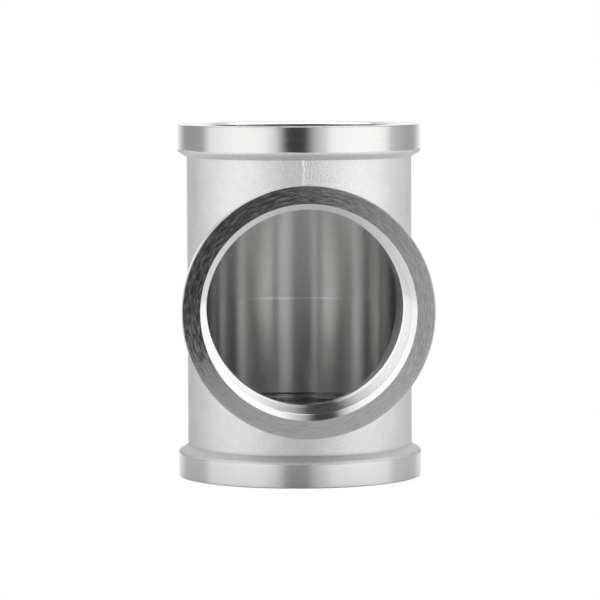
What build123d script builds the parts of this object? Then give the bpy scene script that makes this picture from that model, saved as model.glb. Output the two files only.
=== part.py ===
from build123d import *
import os

# Pipe tee with three female threaded ports, cast in one piece and then turned and bored at each port.
# It stands on its lower port. The origin is the centre of that port's face, +Z runs up the run
# and the branch points along -Y.

# Two inch parallel pipe thread. Its ridges stand inward from the major to the minor diameter,
# and the tapped socket is drawn at the minor diameter, as it is drilled before tapping.
thread_major_diameter = 59.614
thread_height = 1.479
socket_depth = 20.6
mouth_clearance = 0.2

# Smooth passage between the sockets, bored a little smaller than they are
passage_step = 0.578

# Cast barrels. The neck of the branch is slightly slimmer than the run, so its sides blend in.
barrel_wall = 2.693
neck_inset = 0.4
crotch_round = 3.2

# From the side of the run's barrel out to each port's face
port_reach = 18.15

# Band at each port, with the cast shoulder below it and a chamfered rim
band_step = 2.5
upper_band_height = 7.9
lower_band_height = 7.3
branch_band_height = 7.6
shoulder_height = 1.8
shoulder_round = 1.4
rim_chamfer = 0.5

# Metal that the casting has past each port's face, and that is turned away
facing_allowance = 1.2

thread_major_radius = thread_major_diameter / 2
socket_radius = thread_major_radius - thread_height
passage_radius = socket_radius - passage_step
mouth_radius = thread_major_radius + mouth_clearance
mouth_chamfer = mouth_radius - socket_radius
run_barrel_radius = thread_major_radius + barrel_wall
branch_neck_radius = run_barrel_radius - neck_inset
band_radius = run_barrel_radius + band_step
centre_to_end = run_barrel_radius + port_reach
cast_end = centre_to_end + facing_allowance

# Each port is drawn outward from the crossing of the axes, on a plane whose X is the radius
# and whose Y points out of the port
crossing = Vector(0, 0, centre_to_end)
upper_plane = Plane(origin=crossing, x_dir=(1, 0, 0), z_dir=(0, -1, 0))
lower_plane = Plane(origin=crossing, x_dir=(1, 0, 0), z_dir=(0, 1, 0))
branch_plane = Plane(origin=crossing, x_dir=(1, 0, 0), z_dir=(0, 0, -1))
parting_plane = Plane.YZ


def cast_barrel(plane, barrel_radius, band_height):
    """A solid barrel from the crossing out past one port's face, with its shoulder and its band."""
    shoulder_top = centre_to_end - band_height
    shoulder_foot = shoulder_top - shoulder_height
    with BuildSketch(plane) as outline:
        with BuildLine():
            Polyline(
                (0, 0),
                (barrel_radius, 0),
                (barrel_radius, shoulder_foot),
                (band_radius, shoulder_top),
                (band_radius, cast_end),
                (0, cast_end),
                close=True,
            )
        make_face()
        shoulder_edge = outline.vertices().group_by(Axis.X)[-1].sort_by(Axis.Y)[0]
        fillet(shoulder_edge, radius=shoulder_round)
    revolve(outline.sketch, axis=Axis(crossing, plane.y_dir))


def machine_port(plane):
    """Face one port, chamfer its rim and mouth, and bore its socket and half of its passage."""
    socket_floor = centre_to_end - socket_depth
    with BuildSketch(plane) as cut:
        with BuildLine():
            Polyline(
                (0, 0),
                (passage_radius, 0),
                (passage_radius, socket_floor),
                (socket_radius, socket_floor),
                (socket_radius, centre_to_end - mouth_chamfer),
                (mouth_radius, centre_to_end),
                (band_radius - rim_chamfer, centre_to_end),
                (band_radius + facing_allowance, centre_to_end - rim_chamfer - facing_allowance),
                (band_radius + facing_allowance, cast_end + facing_allowance),
                (0, cast_end + facing_allowance),
                close=True,
            )
        make_face()
    revolve(cut.sketch, axis=Axis(crossing, plane.y_dir), mode=Mode.SUBTRACT)


# The casting is blended at the crotch on one side of its parting plane and mirrored to the other,
# and the ports are machined in the whole
with BuildPart() as tee_body:
    cast_barrel(upper_plane, run_barrel_radius, upper_band_height)
    cast_barrel(lower_plane, run_barrel_radius, lower_band_height)
    cast_barrel(branch_plane, branch_neck_radius, branch_band_height)
    split(bisect_by=parting_plane)
    crotch = tee_body.edges().filter_by(GeomType.BSPLINE)
    fillet(crotch, radius=crotch_round)
    mirror(about=parting_plane)
    machine_port(upper_plane)
    machine_port(lower_plane)
    machine_port(branch_plane)

tee_body.part.label = "tee_body"
os.makedirs("parts", exist_ok=True)
export_step(tee_body.part, "parts/tee_body.step")
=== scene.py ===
"""Looks of the threaded pipe tee: its casting with cut threads, its parting seam and its stage."""

from collections import namedtuple
from math import asin, atan2, ceil, cos, exp, hypot, pi, radians, sin, sqrt, tan

import bmesh
import bpy
from mathutils import Matrix, Vector, noise


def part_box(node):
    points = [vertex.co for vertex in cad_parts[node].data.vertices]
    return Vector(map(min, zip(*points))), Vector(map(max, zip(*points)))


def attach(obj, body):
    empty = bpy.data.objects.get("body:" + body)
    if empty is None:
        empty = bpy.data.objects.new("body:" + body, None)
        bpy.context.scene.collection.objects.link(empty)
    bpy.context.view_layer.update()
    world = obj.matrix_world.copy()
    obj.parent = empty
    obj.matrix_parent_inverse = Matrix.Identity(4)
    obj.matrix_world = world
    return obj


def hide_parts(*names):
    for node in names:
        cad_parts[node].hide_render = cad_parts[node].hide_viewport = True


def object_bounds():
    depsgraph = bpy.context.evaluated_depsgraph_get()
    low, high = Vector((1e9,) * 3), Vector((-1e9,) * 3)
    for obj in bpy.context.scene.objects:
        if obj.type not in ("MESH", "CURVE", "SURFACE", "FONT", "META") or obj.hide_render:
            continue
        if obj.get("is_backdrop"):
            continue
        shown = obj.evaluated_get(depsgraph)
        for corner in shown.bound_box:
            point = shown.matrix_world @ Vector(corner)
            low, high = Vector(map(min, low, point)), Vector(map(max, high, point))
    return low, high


bl_info = {
    "name": "Threaded Pipe Tee",
    "version": (1, 0, 0),
    "blender": (4, 5, 0),
    "location": "3D View > Sidebar > Pipe Tee",
    "description": "Models a cast and machined pipe tee with three threaded ports",
    "category": "Add Mesh",
}

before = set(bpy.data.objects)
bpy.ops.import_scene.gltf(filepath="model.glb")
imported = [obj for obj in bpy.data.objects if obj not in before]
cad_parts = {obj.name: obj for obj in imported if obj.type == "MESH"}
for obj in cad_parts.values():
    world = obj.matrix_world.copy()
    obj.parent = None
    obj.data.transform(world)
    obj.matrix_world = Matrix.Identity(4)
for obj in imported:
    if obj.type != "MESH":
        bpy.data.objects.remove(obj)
cad_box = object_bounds()
tee_low, tee_high = (Vector(corner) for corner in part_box("tee_body"))

MM = 0.001

# Where the three axes cross, halfway up the run
CROSSING = Vector((0, 0, (tee_low.z + tee_high.z) / 2))
CENTRE_TO_END = CROSSING.z
BAND_RADIUS = tee_high.x

# Columns round every port. The crossing's curves meet column to column.
COLUMNS = 192
MERGE_DISTANCE = 0.001 * MM

# Edges that turn by more than this are shaded sharp. Edges within cut metal need a greater turn.
CREASE_ANGLE = radians(28)
CUT_CREASE_ANGLE = 1.5 * CREASE_ANGLE

# The bores from both ends of the run meet this far below the crossing and leave a fine line there. It is
# painted lighter, a painted highlight, this far to either side.
BORES_MEET = 1.6 * MM
HAIRLINE_HIGHLIGHT_REACH = 0.3 * MM

# Parting seam: steps of its grid along and across it, bends and swells along it, how far its edges
# dip into the skin, and the thickness of its wall
SEAM_STEPS = 160
SEAM_COLUMNS = 12
SEAM_BENDS = 9
SEAM_SWELLS = 30
SEAM_DIP = 0.02 * MM
SEAM_WALL = 0.1 * MM

# Floor of the stage, a little below the tee so that the two don't touch
FLOOR_RADIUS = 0.3
FLOOR_DROP = 0.1 * MM

# Places of the casting's finishes in its material slots
CAST, RUN_BAND, BRANCH_BAND, RUN_FACE, BRANCH_FACE, BRIGHT, RUN_BORE, BRANCH_BORE = range(8)

# Where a point lies about a port's axis: distance along it and from it, and the way out from it
Place = namedtuple("Place", "along radius x across")


def length(name, description, default):
    """A size in metres for a group of properties."""
    return bpy.props.FloatProperty(
        name=name, description=description, default=default, min=0, unit="LENGTH", precision=5
    )


def colour(name, description, default):
    """A colour for a group of properties."""
    return bpy.props.FloatVectorProperty(
        name=name, description=description, subtype="COLOR", default=default, min=0, max=1
    )


class TeeSizes(bpy.types.PropertyGroup):
    """Sizes of the tee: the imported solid's, with those of its edges and steps refined."""

    thread_major_diameter: length("Thread Major Diameter", "Over the roots of the threads", 59.614 * MM)
    thread_height: length("Thread Height", "From root to crest", 1.479 * MM)
    thread_pitch: length("Thread Pitch", "From crest to crest", 2.309 * MM)
    socket_depth: length("Socket Depth", "From the face to the step at the passage", 20.6 * MM)
    full_thread_depth: length("Full Thread Depth", "From the face to where the threads run out", 20.3 * MM)
    mouth_clearance: length("Mouth Clearance", "How far the chamfer reaches past the roots", 0.1 * MM)
    mouth_depth: length("Mouth Depth", "How deep the chamfer goes at the crests", 1.35 * MM)
    upper_mouth_depth: length("Upper Mouth Depth", "The same in the upper port", 0.7 * MM)
    thread_start: length("Thread Start", "From the chamfer to the first full thread", 0.5 * MM)
    passage_step: length("Passage Step", "From the crests in to the smooth passage", 0.66 * MM)
    step_lead: length("Step Lead", "How deep the cone at that step is", 0.45 * MM)
    neck_inset: length("Neck Inset", "How much slimmer the branch's neck is than the run", 0.4 * MM)
    crotch_round: length("Crotch Round", "Radius of the blend between run and neck", 3.2 * MM)
    band_step: length("Band Step", "How far a band stands out from the run's barrel", 2.7 * MM)
    upper_band_height: length("Upper Band Height", "Band of the upper port", 7.75 * MM)
    lower_band_height: length("Lower Band Height", "Band of the lower port", 7.3 * MM)
    branch_band_height: length("Branch Band Height", "Band of the branch", 7.6 * MM)
    shoulder_height: length("Shoulder Height", "Slope between a band and its barrel", 1.65 * MM)
    shoulder_round: length("Shoulder Round", "Round between the slope and the band", 1.1 * MM)
    foot_round: length("Foot Round", "Round between the slope and the barrel", 0.3 * MM)
    rim_round: length("Rim Round", "Round between a band and its face", 0.3 * MM)
    band_wave: length("Band Wave", "Wander of the turned band's inner edge", 0.35 * MM)
    seam_width: length("Seam Width", "Across both lips of the parting seam", 1.5 * MM)
    seam_height: length("Seam Height", "Higher lip of the parting seam above the skin", 0.16 * MM)
    seam_wander: length("Seam Wander", "Parting seam from side to side", 0.55 * MM)


class TeeColours(bpy.types.PropertyGroup):
    """Colours of the steel and of the floor."""

    steel: colour("Steel", "Machined stainless steel", (0.62, 0.62, 0.615))
    blasted: colour("Blasted Skin", "Cast skin as blasted", (0.79, 0.79, 0.785))
    edge: colour("Skin Edge", "Tint of the cast skin where it turns away", (0.5, 0.5, 0.5))
    floor: colour("Floor", "Floor of the stage", (0.78, 0.78, 0.78))


class Wire:
    """An output socket in a node graph. Arithmetic on it adds the graph's Math nodes."""

    def __init__(self, graph, socket):
        self.graph = graph
        self.socket = socket

    def out(self, key):
        """Another output of the same node."""
        return Wire(self.graph, self.socket.node.outputs[key])

    def __add__(self, other):
        return self.graph.maths("ADD", self, other)

    def __radd__(self, other):
        return self.graph.maths("ADD", other, self)

    def __sub__(self, other):
        return self.graph.maths("SUBTRACT", self, other)

    def __rsub__(self, other):
        return self.graph.maths("SUBTRACT", other, self)

    def __mul__(self, other):
        return self.graph.maths("MULTIPLY", self, other)

    def __rmul__(self, other):
        return self.graph.maths("MULTIPLY", other, self)

    def __truediv__(self, other):
        return self.graph.maths("DIVIDE", self, other)

    def __rtruediv__(self, other):
        return self.graph.maths("DIVIDE", other, self)


class Graph:
    """A node tree that is written from empty."""

    def __init__(self, tree):
        self.tree = tree
        tree.nodes.clear()

    def add(self, kind, settings=None, inputs=None):
        """A node of one kind. Its settings are set first, then its sockets get their values or links."""
        node = self.tree.nodes.new(kind)
        for name, value in (settings or {}).items():
            if name == "stops":
                set_stops(node.color_ramp, value)
            else:
                setattr(node, name, value)
        for key, value in (inputs or {}).items():
            if isinstance(value, Wire):
                self.tree.links.new(value.socket, node.inputs[key])
            else:
                node.inputs[key].default_value = value
        return Wire(self, node.outputs[0]) if node.outputs else None

    def maths(self, operation, *values):
        """A Math node. Its values are in the order of its sockets."""
        return self.add("ShaderNodeMath", {"operation": operation}, dict(enumerate(values)))

    def noise(self, vector, scale, detail=2, roughness=0.5):
        inputs = {"Vector": vector, "Scale": scale, "Detail": detail, "Roughness": roughness}
        return self.add("ShaderNodeTexNoise", inputs=inputs)

    def combine(self, x, y, z):
        return self.add("ShaderNodeCombineXYZ", inputs={"X": x, "Y": y, "Z": z})

    def remap(self, value, low, high, new_low=0.0, new_high=1.0):
        """A value that lies between low and high, moved to lie between the new bounds and kept there."""
        inputs = {"Value": value, "From Min": low, "From Max": high, "To Min": new_low, "To Max": new_high}
        return self.add("ShaderNodeMapRange", inputs=inputs)

    def mix(self, factor, dark, light):
        """A colour between two colours."""
        inputs = {0: factor, 6: rgba(dark), 7: rgba(light)}
        return self.add("ShaderNodeMix", {"data_type": "RGBA"}, inputs).out(2)

    def dot(self, vector, other):
        node = self.add("ShaderNodeVectorMath", {"operation": "DOT_PRODUCT"}, {0: vector, 1: other})
        return node.out("Value")

    def bump(self, height, distance, below=None):
        """Relief of a height times a distance, over another relief if one is given."""
        inputs = {"Height": height, "Distance": distance}
        if below:
            inputs["Normal"] = below
        return self.add("ShaderNodeBump", inputs=inputs)


def set_stops(ramp, stops):
    """Give a ramp its stops, as pairs of a place and a grey value."""
    while len(ramp.elements) < len(stops):
        ramp.elements.new(1)
    for element, (place, grey) in zip(ramp.elements, stops):
        element.position = place
        element.color = (grey, grey, grey, 1)


def rgba(tone):
    """A tone as a solid colour."""
    return (*tone, 1)


def shade(tone, factor):
    """A tone made darker or lighter."""
    return tuple(factor * channel for channel in tone)


def steel_finish(name, paint):
    """A material with one metal shader. paint(graph, position) gives the shader's inputs."""
    material = bpy.data.materials.new(name)
    material.use_nodes = True
    graph = Graph(material.node_tree)
    position = graph.add("ShaderNodeTexCoord").out("Object")
    inputs = {"Metallic": 1.0, **paint(graph, position)}
    shader = graph.add("ShaderNodeBsdfPrincipled", inputs=inputs)
    graph.add("ShaderNodeOutputMaterial", inputs={"Surface": shader})
    return material


def cast_skin(colours, name="blasted_cast_skin", tone=1.0):
    """Blasted cast skin: fine grain over soft swells, with painted shade darkening the run's lower
    shoulder.

    The run's upper shoulder gets only a little painted shade.
    """
    # Heights from the crossing between which painted shade darkens the skin, at the foot of a shoulder
    painted_shade_from = 41.0 * MM
    painted_shade_to = 41.6 * MM
    upper_painted_shade = 0.15

    # Share of the light tone where grain and clouds are darkest, what each adds, and what the painted
    # shade takes away
    least_share = 0.43
    grain_share = 0.4
    cloud_share = 0.17
    painted_shade_share = 0.38

    def paint(graph, position):
        grain = graph.noise(position, 2200, 2, 0.7)
        swell = graph.noise(position, 420, 2)
        cloud = graph.noise(position, 120, 3, 0.6)
        relief = graph.bump(swell, 0.06 * MM)
        height = graph.add("ShaderNodeSeparateXYZ", inputs={0: position}).out("Z") - CROSSING.z
        # Painted shade: the skin's base colour is darkened on the shoulders' slopes, most on the run's
        # lower one
        lower_shoulder_shade = graph.remap(0.0 - height, painted_shade_from, painted_shade_to)
        upper_shoulder_shade = graph.remap(height, painted_shade_from, painted_shade_to, 0.0, upper_painted_shade)
        shoulder = lower_shoulder_shade + upper_shoulder_shade
        speckle_and_shade = grain_share * graph.remap(grain, 0.25, 0.75) + cloud_share * graph.remap(cloud, 0.3, 0.7)
        speckle_and_shade = least_share + speckle_and_shade - painted_shade_share * shoulder
        dark = shade(colours.blasted, 0.7 * tone)
        light = shade(colours.blasted, 1.12 * tone)
        return {
            "Metallic": 0.9,
            "Base Color": graph.mix(speckle_and_shade, dark, light),
            "Roughness": graph.remap(cloud, 0.3, 0.7, 0.47, 0.51),
            "Specular Tint": rgba(colours.edge),
            "Normal": graph.bump(grain, 0.18 * MM, relief),
        }

    return steel_finish(name, paint)


def axial_place(graph, position, branch):
    """The place of a shader's position about the axis of the run or of the branch."""
    parts = graph.add("ShaderNodeSeparateXYZ", inputs={0: position})
    x = parts.out("X")
    y = parts.out("Y")
    z = parts.out("Z") - CROSSING.z
    along, across = (y, z) if branch else (z, y)
    radius = graph.maths("SQRT", x * x + across * across)
    return Place(along, radius, x / radius, across / radius)


def turned_lines(graph, place, spacing, sweep=6.0):
    """Fine lines round an axis, as a tool leaves them. A greater sweep makes them shorter."""
    lines = graph.combine(place.x * sweep, place.across * sweep, (place.radius + place.along) / spacing)
    return graph.noise(lines, 1.0, 3, 0.65)


def turned_band(colours, branch):
    """Turned outside of a band: bright, with fine lines round it."""

    def paint(graph, position):
        place = axial_place(graph, position, branch)
        fine = turned_lines(graph, place, 0.35 * MM)
        broad = turned_lines(graph, place, 0.9 * MM, 2.0)
        return {
            "Base Color": graph.mix(broad, shade(colours.steel, 0.96), shade(colours.steel, 1.04)),
            "Roughness": graph.remap(broad, 0.3, 0.7, 0.12, 0.17),
            "Normal": graph.bump(fine, 0.012 * MM),
        }

    return steel_finish("turned_branch_band" if branch else "turned_run_band", paint)


def port_face(colours, branch):
    """Faced end of a port: rings left by the feed of the tool, whose flanks lean outward."""
    flank_lean = tan(radians(3.0))

    def paint(graph, position):
        place = axial_place(graph, position, branch)
        rings = graph.remap(turned_lines(graph, place, 0.38 * MM, 12.0), 0.36, 0.64)
        flanks = graph.bump(place.radius * -flank_lean, 1.0)
        return {
            "Base Color": graph.mix(rings, shade(colours.steel, 0.72), shade(colours.steel, 0.92)),
            "Roughness": graph.remap(rings, 0.0, 1.0, 0.11, 0.26),
            "Normal": graph.bump(rings, 0.005 * MM, flanks),
        }

    return steel_finish("faced_branch_end" if branch else "faced_run_end", paint)


def bright_mouth(colours):
    """Chamfers and cut threads: bright, with fine drag marks."""

    def paint(graph, position):
        drag = graph.noise(position, 1800, 2, 0.6)
        return {
            "Base Color": rgba(shade(colours.steel, 1.1)),
            "Roughness": graph.remap(drag, 0.3, 0.7, 0.11, 0.16),
            "Normal": graph.bump(drag, 0.003 * MM),
        }

    return steel_finish("bright_cut_mouth", paint)


def bored_passage(colours, branch):
    """Smooth bored passage, with fine lines round it that draw reflections out along the bore."""

    def paint(graph, position):
        place = axial_place(graph, position, branch)
        fine = turned_lines(graph, place, 0.35 * MM)
        finish = {
            "Metallic": 0.94,
            "Base Color": graph.mix(fine, shade(colours.steel, 1.03), shade(colours.steel, 1.11)),
            "Roughness": 0.27,
            "Normal": graph.bump(fine, 0.012 * MM),
        }
        if not branch:
            # The run is bored from both ends. The lower bore is the smoother one, and where they meet a
            # fine line round the back is painted lighter, a painted highlight that fades away round the
            # sides.
            above = place.along + BORES_MEET
            hairline_highlight = graph.remap(above * above, 0.0, HAIRLINE_HIGHLIGHT_REACH**2, 0.8, 0.0)
            hairline_highlight = hairline_highlight * graph.remap(place.x * place.x, 0.1, 0.5, 1.0, 0.0)
            # Painted highlight: the base colour along the line goes up to one and a half times the steel's
            finish["Base Color"] = graph.mix(
                hairline_highlight + 0.25 * fine, shade(colours.steel, 1.07), shade(colours.steel, 1.5)
            )
            finish["Roughness"] = graph.remap(above, -0.4 * MM, 0.4 * MM, 0.245, 0.27)
            # The shader's own direction runs round the run's axis, as the tool did. A quarter turn
            # draws the reflections out across that.
            finish["Anisotropic"] = 1.0
            finish["Anisotropic Rotation"] = 0.25
        return finish

    return steel_finish("bored_branch" if branch else "bored_run", paint)


class Port:
    """One port of the tee, with the turn about X that takes a port on +Z to its place."""

    def __init__(self, sizes, turn, band_height, mouth_depth, branch=False):
        self.branch = branch
        self.placed = Matrix.Translation(CROSSING) @ Matrix.Rotation(turn, 4, "X")
        self.side = round(cos(turn))
        self.run_radius = BAND_RADIUS - sizes.band_step
        self.neck_radius = self.run_radius - sizes.neck_inset
        self.barrel_radius = self.neck_radius if branch else self.run_radius
        self.ball = sizes.crotch_round
        self.shoulder_top = CENTRE_TO_END - band_height
        self.shoulder_foot = self.shoulder_top - sizes.shoulder_height
        major_radius = sizes.thread_major_diameter / 2
        self.socket_radius = major_radius - sizes.thread_height
        self.passage_radius = self.socket_radius - sizes.passage_step
        self.mouth_radius = major_radius + sizes.mouth_clearance
        self.mouth_floor = CENTRE_TO_END - mouth_depth
        self.socket_floor = CENTRE_TO_END - sizes.socket_depth
        self.passage_end = self.socket_floor - sizes.step_lead
        self.threads_end = CENTRE_TO_END - sizes.full_thread_depth

    def polar(self, point):
        """Angle round the port's axis, distance from it and reach along it, of a point in place."""
        offset = point - CROSSING
        if self.branch:
            return atan2(offset.x, offset.z), hypot(offset.x, offset.z), -offset.y
        return atan2(offset.x, -offset.y), hypot(offset.x, offset.y), self.side * offset.z

    def point(self, angle, radius, reach):
        """The point in place that polar() describes so."""
        if self.branch:
            return CROSSING + Vector((radius * sin(angle), -reach, radius * cos(angle)))
        return CROSSING + Vector((radius * sin(angle), -radius * cos(angle), self.side * reach))

    def barrel_start(self, angle):
        """Reach at which the barrel leaves the crotch blend."""
        ball_path = self.neck_radius + self.ball
        if self.branch:
            return sqrt((self.run_radius + self.ball) ** 2 - (ball_path * sin(angle)) ** 2)
        return ball_path * max(cos(angle), 0)

    def passage_start(self, angle):
        """Reach at which the passage leaves the crossing."""
        return self.passage_radius * (abs(cos(angle)) if self.branch else max(cos(angle), 0))

    def outer_angle(self, angle):
        """Where a column of the run stands outside, so that it meets a column of the blend in front."""
        if self.branch:
            return angle
        lean = (self.neck_radius + self.ball) / (self.run_radius + self.ball)
        quarter = pi / 2
        if abs(angle) <= quarter:
            return asin(lean * sin(angle))
        edge = asin(lean)
        turned = edge + (abs(angle) - quarter) / quarter * (pi - edge)
        return turned if angle > 0 else -turned


def arc(centre, radius, start, end, steps):
    """Points on an arc in the plane of radius and reach."""
    angles = [start + (end - start) * step / steps for step in range(steps + 1)]
    return [(centre[0] + radius * cos(angle), centre[1] + radius * sin(angle)) for angle in angles]


def rows(start, end, steps):
    """Points on a straight line in the plane of radius and reach."""
    shares = [step / steps for step in range(steps + 1)]
    return [tuple(a + (b - a) * share for a, b in zip(start, end)) for share in shares]


def spin_strip(bm, port, profile, finish, shape, rise=0.0):
    """Spin a profile of radii and reaches round a port's axis, as a helix where it rises.

    shape(angle, radius, reach) then gives every point its place.
    """
    strip = bmesh.new()
    verts = [strip.verts.new((0, -radius, reach)) for radius, reach in profile]
    edges = [strip.edges.new(pair) for pair in zip(verts, verts[1:])]
    bmesh.ops.spin(
        strip,
        geom=verts + edges,
        axis=(0, 0, 1),
        dvec=(0, 0, rise / COLUMNS),
        angle=2 * pi,
        steps=COLUMNS,
        use_merge=rise == 0,
    )
    for face in strip.faces:
        face.material_index = finish
    for vert in strip.verts:
        vert.co = shape(*port.polar(port.placed @ vert.co))
    mesh = bpy.data.meshes.new("strip")
    strip.to_mesh(mesh)
    strip.free()
    bm.from_mesh(mesh)
    bpy.data.meshes.remove(mesh)


def spin_outside(bm, port, sizes):
    """Barrel, shoulder, band, rim and face of one port."""
    step = BAND_RADIUS - port.barrel_radius
    lean = atan2(step, sizes.shoulder_height)
    band_start = port.shoulder_top + sizes.shoulder_round * tan(lean / 2)
    band_end = CENTRE_TO_END - sizes.rim_round
    rim_radius = BAND_RADIUS - sizes.rim_round
    barrel_end = port.shoulder_foot - sizes.foot_round * tan(lean / 2)
    barrel = rows((port.barrel_radius, 0), (port.barrel_radius, barrel_end), steps=8)
    foot_centre = (port.barrel_radius + sizes.foot_round, barrel_end)
    foot = arc(foot_centre, sizes.foot_round, pi, pi - lean, steps=4)
    shoulder_centre = (BAND_RADIUS - sizes.shoulder_round, band_start)
    shoulder = arc(shoulder_centre, sizes.shoulder_round, -lean, 0, steps=6)
    band = rows((BAND_RADIUS, band_start), (BAND_RADIUS, band_end), steps=6)
    rim = arc((rim_radius, band_end), sizes.rim_round, 0, pi / 2, steps=5)
    face = rows(rim[-1], (port.mouth_radius, CENTRE_TO_END), steps=4)
    strips = (
        (barrel + foot[1:] + shoulder, CAST),
        (band, BRANCH_BAND if port.branch else RUN_BAND),
        (rim + face[1:], BRANCH_FACE if port.branch else RUN_FACE),
    )
    # A greater waviness gives the band's inner edge more bends
    waviness = 3

    def shape(angle, radius, reach):
        outer_angle = port.outer_angle(angle)
        if reach > band_end:
            inward = max(0, (rim_radius - radius) / (rim_radius - port.mouth_radius))
            outer_angle += (angle - outer_angle) * inward
        if reach < barrel_end:
            start = port.barrel_start(angle)
            reach = start + (barrel_end - start) * reach / barrel_end
        if radius > BAND_RADIUS - MERGE_DISTANCE and reach < band_start + MERGE_DISTANCE:
            around = (waviness * sin(angle), waviness * cos(angle), port.shoulder_top / MM)
            reach += sizes.band_wave * noise.noise(around)
        return port.point(outer_angle, radius, reach)

    for profile, finish in strips:
        spin_strip(bm, port, profile, finish, shape)


def spin_crotch(bm, port):
    """Blend between the run and the branch's neck, as a ball leaves it that rolls along both."""
    ball_path = port.neck_radius + port.ball

    def shape(angle, radius, turn):
        centre = Vector((ball_path * sin(angle), -port.barrel_start(angle), ball_path * cos(angle)))
        to_neck = Vector((-sin(angle), 0, -cos(angle)))
        to_run = -Vector((centre.x, centre.y, 0)).normalized()
        return CROSSING + centre + port.ball * to_neck.slerp(to_run, turn)

    profile = rows((port.neck_radius, 0), (port.neck_radius, 1), steps=10)
    spin_strip(bm, port, profile, CAST, shape)


def spin_passage(bm, port):
    """Cone at the socket's floor and smooth passage down to the crossing."""
    step = [(port.socket_radius, port.socket_floor), (port.passage_radius, port.passage_end)]
    wall = rows(step[-1], (port.passage_radius, 0), steps=8)

    def shape(angle, radius, reach):
        start = port.passage_start(angle)
        if reach < port.passage_end:
            reach = start + (port.passage_end - start) * reach / port.passage_end
        return port.point(angle, radius, reach)

    spin_strip(bm, port, step, BRIGHT, shape)
    spin_strip(bm, port, wall, BRANCH_BORE if port.branch else RUN_BORE, shape)


def spin_mouth(bm, port):
    """Chamfered mouth of one socket."""
    profile = rows((port.mouth_radius, CENTRE_TO_END), (port.socket_radius, port.mouth_floor), steps=3)
    spin_strip(bm, port, profile, BRIGHT, port.point)


def spin_threads(bm, port, sizes):
    """Cut threads of one socket, from the step at its floor to its chamfered mouth."""
    # Shares of the thread's height and of its pitch, from the flat of a crest to the root beside it
    flank = [(0, 0.07), (0.85, 0.354), (0.97, 0.42), (1, 0.5)]
    pitch = flank + [(depth, 1 - along) for depth, along in reversed(flank[:-1])]
    turns = ceil(sizes.socket_depth / sizes.thread_pitch) + 1
    profile = [
        (port.socket_radius + depth * sizes.thread_height, (turn + along - turns) * sizes.thread_pitch)
        for turn in range(turns)
        for depth, along in pitch
    ]
    profile.append((port.socket_radius, 0))
    profile = [(radius, CENTRE_TO_END + reach) for radius, reach in profile]

    def shape(angle, radius, reach):
        reach = min(max(reach, port.socket_floor), port.mouth_floor)
        runout = min((reach - port.socket_floor) / (port.threads_end - port.socket_floor), 1)
        lead_in = min((port.mouth_floor - reach) / sizes.thread_start, 1)
        depth = (radius - port.socket_radius) * runout * lead_in
        return port.point(angle, port.socket_radius + depth, reach)

    spin_strip(bm, port, profile, BRIGHT, shape, rise=sizes.thread_pitch)


def finish_mesh(bm, name, materials):
    """Close and shade a mesh, and make it a piece that rides on the tee's body."""
    bmesh.ops.remove_doubles(bm, verts=bm.verts, dist=MERGE_DISTANCE)
    bmesh.ops.recalc_face_normals(bm, faces=bm.faces)
    open_edges = [edge for edge in bm.edges if not edge.is_manifold]
    if open_edges:
        raise RuntimeError(f"{name} has {len(open_edges)} open edges, near {open_edges[0].verts[0].co}")
    for face in bm.faces:
        face.smooth = True
    for edge in bm.edges:
        cut = all(face.material_index == BRIGHT for face in edge.link_faces)
        edge.smooth = edge.calc_face_angle(0) < (CUT_CREASE_ANGLE if cut else CREASE_ANGLE)
    mesh = bpy.data.meshes.new(name)
    bm.to_mesh(mesh)
    bm.free()
    for material in materials:
        mesh.materials.append(material)
    piece = bpy.data.objects.new(name, mesh)
    bpy.context.collection.objects.link(piece)
    weighting = piece.modifiers.new("even_shading", "WEIGHTED_NORMAL")
    weighting.keep_sharp = True
    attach(piece, "root")
    return piece


class TEE_OT_casting(bpy.types.Operator):
    """Model the casting with its turned bands, faces, threads and passages"""

    bl_idname = "tee.casting"
    bl_label = "Casting"

    def execute(self, context):
        sizes = context.scene.tee_sizes
        colours = context.scene.tee_colours
        upper = Port(sizes, 0, sizes.upper_band_height, sizes.upper_mouth_depth)
        lower = Port(sizes, pi, sizes.lower_band_height, sizes.mouth_depth)
        branch = Port(sizes, pi / 2, sizes.branch_band_height, sizes.mouth_depth, branch=True)
        bm = bmesh.new()
        for port in (upper, lower, branch):
            spin_outside(bm, port, sizes)
            spin_passage(bm, port)
            spin_mouth(bm, port)
            spin_threads(bm, port, sizes)
        spin_crotch(bm, branch)
        materials = [
            cast_skin(colours),
            turned_band(colours, False),
            turned_band(colours, True),
            port_face(colours, False),
            port_face(colours, True),
            bright_mouth(colours),
            bored_passage(colours, False),
            bored_passage(colours, True),
        ]
        casting = finish_mesh(bm, "casting", materials)
        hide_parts("tee_body")
        return {"FINISHED"}


def seam_path(port, share):
    """Place and outward direction on the skin in the parting plane, above the branch.

    A share of 0 is at the run's upper shoulder and a share of 1 at the branch's.
    """
    foot = port.shoulder_foot
    ball_path = port.neck_radius + port.ball
    start = port.barrel_start(0)
    run_length = foot - ball_path
    bend_length = port.ball * pi / 2
    neck_length = foot - start
    walked = share * (run_length + bend_length + neck_length)
    if walked < run_length:
        return Vector((0, -port.run_radius, foot - walked)), Vector((0, -1, 0))
    walked -= run_length
    if walked < bend_length:
        turn = walked / port.ball
        outward = Vector((0, -cos(turn), sin(turn)))
        return Vector((0, -start, ball_path)) - port.ball * outward, outward
    walked -= bend_length
    return Vector((0, -start - walked, port.neck_radius)), Vector((0, 0, 1))


def seam_lips(across):
    """Height of the seam's lips, from its left edge at -1 to its right edge at 1, as a share."""
    high_lip = exp(-(((across + 0.6) / 0.24) ** 2))
    faint_lip = 0.35 * exp(-(((across - 0.5) / 0.2) ** 2))
    return high_lip + faint_lip


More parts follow.
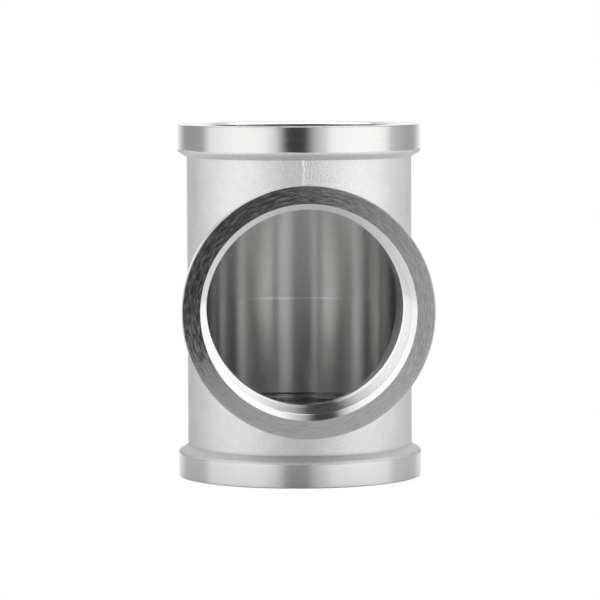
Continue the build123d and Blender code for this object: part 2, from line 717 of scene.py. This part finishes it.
class TEE_OT_parting_seam(bpy.types.Operator):
    """Lay the fine parting seam over the skin, above the branch and up the back"""

    bl_idname = "tee.parting_seam"
    bl_label = "Parting Seam"

    def execute(self, context):
        sizes = context.scene.tee_sizes
        colours = context.scene.tee_colours
        branch = Port(sizes, pi / 2, sizes.branch_band_height, sizes.mouth_depth, branch=True)
        back_foot = branch.shoulder_foot

        def over(share):
            return seam_path(branch, share)

        def back(share):
            return Vector((0, branch.run_radius, back_foot * (2 * share - 1))), Vector((0, 1, 0))

        bm = bmesh.new()
        for path, seed, strength in ((over, 0.0, 1.0), (back, 13.0, 0.6)):
            made = bmesh.ops.create_grid(bm, x_segments=SEAM_STEPS, y_segments=SEAM_COLUMNS, size=0.5)
            grid = made["verts"]
            for vert in grid:
                share = vert.co.x + 0.5
                across = 2 * vert.co.y
                place, outward = path(share)
                wander = sizes.seam_wander * noise.noise((seed, SEAM_BENDS * share, 0))
                swell = 0.8 + 0.6 * noise.noise((seed, 0, SEAM_SWELLS * share))
                rise = strength * sizes.seam_height * swell * seam_lips(across) - SEAM_DIP
                side = wander + across * sizes.seam_width / 2
                vert.co = CROSSING + place + Vector((side, 0, 0)) + rise * outward
            faces = list({face for vert in grid for face in vert.link_faces})
            bmesh.ops.recalc_face_normals(bm, faces=faces)
            bmesh.ops.solidify(bm, geom=faces, thickness=SEAM_WALL)
        # The seam's skin is painted 13 percent lighter than the casting's, a painted highlight along its
        # lips
        finish_mesh(bm, "parting_seam", [cast_skin(colours, "seam_skin_painted_highlight", 1.13)])
        return {"FINISHED"}


# Camera of the photograph: its place round the crossing, and its lens and sensor in millimetres
CAMERA_DISTANCE = 1.057
CAMERA_TURN = radians(2.96)
CAMERA_RISE = radians(4.2)
CAMERA_ROLL = radians(-0.22)
CAMERA_LENS = 219.7
CAMERA_SENSOR = 36
CAMERA_SHIFT = (0.00084, -0.001)


def studio_world():
    """White studio: soft boxes left and right of the camera with a dark gap that runs overhead."""
    world = bpy.data.worlds.new("studio")
    bpy.context.scene.world = world
    world.use_nodes = True
    graph = Graph(world.node_tree)
    direction = graph.add("ShaderNodeTexCoord").out("Generated")
    sideways = graph.dot(direction, (cos(CAMERA_TURN), -sin(CAMERA_TURN), 0))
    forward = graph.dot(direction, (-sin(CAMERA_TURN), -cos(CAMERA_TURN), 0))
    upward = graph.maths("MAXIMUM", graph.dot(direction, (0, 0, 1)), 0.0)
    # The gap runs overhead with a constant width, so the light there goes by the angle from its plane
    in_plane = graph.maths("SQRT", forward * forward + upward * upward)
    overhead = graph.remap(forward + upward, 0.0, 0.25)
    ahead = forward + (in_plane - forward) * overhead
    azimuth = graph.maths("ARCTAN2", sideways, ahead)
    # High up the gap is narrower, and it lies a little to the left
    high = graph.remap(upward, 0.6, 0.95)
    azimuth = azimuth + high * (0.45 * azimuth + radians(4))
    # Azimuth from the camera in degrees, and the light from there
    light = (
        (-180, 1.15), (-165, 1.1), (-150, 0.85), (-138, 0.45), (-104, 0.5), (-92, 1.2), (-60, 1.45),
        (-34, 1.4), (-22, 1.0), (-17, 0.6), (-13, 0.2), (-11, 0.06), (6, 0.06), (9, 0.28), (15, 0.68),
        (24, 0.95), (31, 1.4), (60, 1.52), (88, 1.42), (98, 0.75), (124, 0.53), (138, 0.55),
        (150, 0.85), (165, 1.1), (180, 1.15),
    )
    # A ramp's greys end at 1, so it holds half of each light and the background doubles it again
    stops = [(0.5 + degrees / 360, strength / 2) for degrees, strength in light]
    ramp = graph.add("ShaderNodeValToRGB", {"stops": stops}, {0: azimuth / (2 * pi) + 0.5})
    # Behind the tee it is dim aloft, but for a panel over the middle
    aloft = graph.remap(forward, -0.05, -0.2) * graph.remap(upward, 0.3, 0.6)
    panel = graph.remap(forward, -0.1, -0.17) * graph.remap(upward, 0.5, 0.6)
    panel = panel * graph.remap(sideways * sideways, 0.16, 0.2, 1.0, 0.0)
    light_from = ramp + (0.2 - ramp) * aloft
    light_from = light_from + (1.0 - light_from) * panel
    seen = graph.add("ShaderNodeLightPath").out("Is Camera Ray")
    studio = graph.add("ShaderNodeBackground", inputs={"Color": light_from, "Strength": 2.0})
    backdrop = graph.add("ShaderNodeBackground", inputs={"Color": (1, 1, 1, 1)})
    surface = graph.add("ShaderNodeMixShader", inputs={0: seen, 1: studio, 2: backdrop})
    graph.add("ShaderNodeOutputWorld", inputs={"Surface": surface})


def stage_floor(colours):
    """Small white floor. The camera sees it as white as the backdrop."""
    bm = bmesh.new()
    bmesh.ops.create_circle(bm, cap_ends=True, segments=96, radius=FLOOR_RADIUS)
    bmesh.ops.transform(bm, matrix=Matrix.Translation((0, 0, -FLOOR_DROP)), verts=bm.verts)
    mesh = bpy.data.meshes.new("floor")
    bm.to_mesh(mesh)
    bm.free()
    material = bpy.data.materials.new("white_floor")
    material.use_nodes = True
    graph = Graph(material.node_tree)
    seen = graph.add("ShaderNodeLightPath").out("Is Camera Ray")
    finish = {
        "Base Color": rgba(colours.floor),
        "Roughness": 0.08,
        "Emission Color": (1, 1, 1, 1),
        "Emission Strength": 0.06,
    }
    gloss = graph.add("ShaderNodeBsdfPrincipled", inputs=finish)
    white = graph.add("ShaderNodeEmission", inputs={"Color": (1, 1, 1, 1)})
    surface = graph.add("ShaderNodeMixShader", inputs={0: seen, 1: gloss, 2: white})
    graph.add("ShaderNodeOutputMaterial", inputs={"Surface": surface})
    mesh.materials.append(material)
    floor = bpy.data.objects.new("floor", mesh)
    bpy.context.collection.objects.link(floor)
    floor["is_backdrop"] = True


def stage_camera():
    """Camera of the photograph, a little above the tee and to its left."""
    away = Vector(
        (-cos(CAMERA_RISE) * sin(CAMERA_TURN), -cos(CAMERA_RISE) * cos(CAMERA_TURN), sin(CAMERA_RISE))
    )
    data = bpy.data.cameras.new("camera")
    data.lens = CAMERA_LENS
    data.sensor_width = CAMERA_SENSOR
    data.shift_x, data.shift_y = CAMERA_SHIFT
    data.clip_start = 0.05
    camera = bpy.data.objects.new("camera", data)
    turn = (-away).to_track_quat("-Z", "Y").to_matrix().to_4x4()
    camera.matrix_world = (
        Matrix.Translation(CROSSING + CAMERA_DISTANCE * away) @ turn @ Matrix.Rotation(CAMERA_ROLL, 4, "Z")
    )
    bpy.context.collection.objects.link(camera)
    bpy.context.scene.camera = camera


class TEE_OT_stage(bpy.types.Operator):
    """Set up the floor, the studio light and the camera"""

    bl_idname = "tee.stage"
    bl_label = "Stage"

    def execute(self, context):
        stage_floor(context.scene.tee_colours)
        studio_world()
        stage_camera()
        context.scene.view_settings.view_transform = "Standard"
        return {"FINISHED"}


class TEE_PT_panel(bpy.types.Panel):
    """Sizes, colours and pieces of the tee"""

    bl_idname = "TEE_PT_panel"
    bl_label = "Pipe Tee"
    bl_space_type = "VIEW_3D"
    bl_region_type = "UI"
    bl_category = "Pipe Tee"

    def draw(self, context):
        for group in (context.scene.tee_sizes, context.scene.tee_colours):
            for name in group.__annotations__:
                self.layout.prop(group, name)
        for operator in PIECES:
            self.layout.operator(operator.bl_idname)


PIECES = (TEE_OT_casting, TEE_OT_parting_seam, TEE_OT_stage)
CLASSES = (TeeSizes, TeeColours, *PIECES, TEE_PT_panel)


def register():
    for item in CLASSES:
        bpy.utils.register_class(item)
    bpy.types.Scene.tee_sizes = bpy.props.PointerProperty(type=TeeSizes)
    bpy.types.Scene.tee_colours = bpy.props.PointerProperty(type=TeeColours)


def unregister():
    del bpy.types.Scene.tee_colours
    del bpy.types.Scene.tee_sizes
    for item in reversed(CLASSES):
        bpy.utils.unregister_class(item)


def main():
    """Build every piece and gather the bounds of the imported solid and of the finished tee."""
    register()
    bpy.ops.tee.casting()
    bpy.ops.tee.parting_seam()
    bpy.ops.tee.stage()
    boxes = {"cad": cad_box, "visual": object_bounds()}
    {name: [list(corner) for corner in box] for name, box in boxes.items()}


if __name__ == "__main__":
    main()
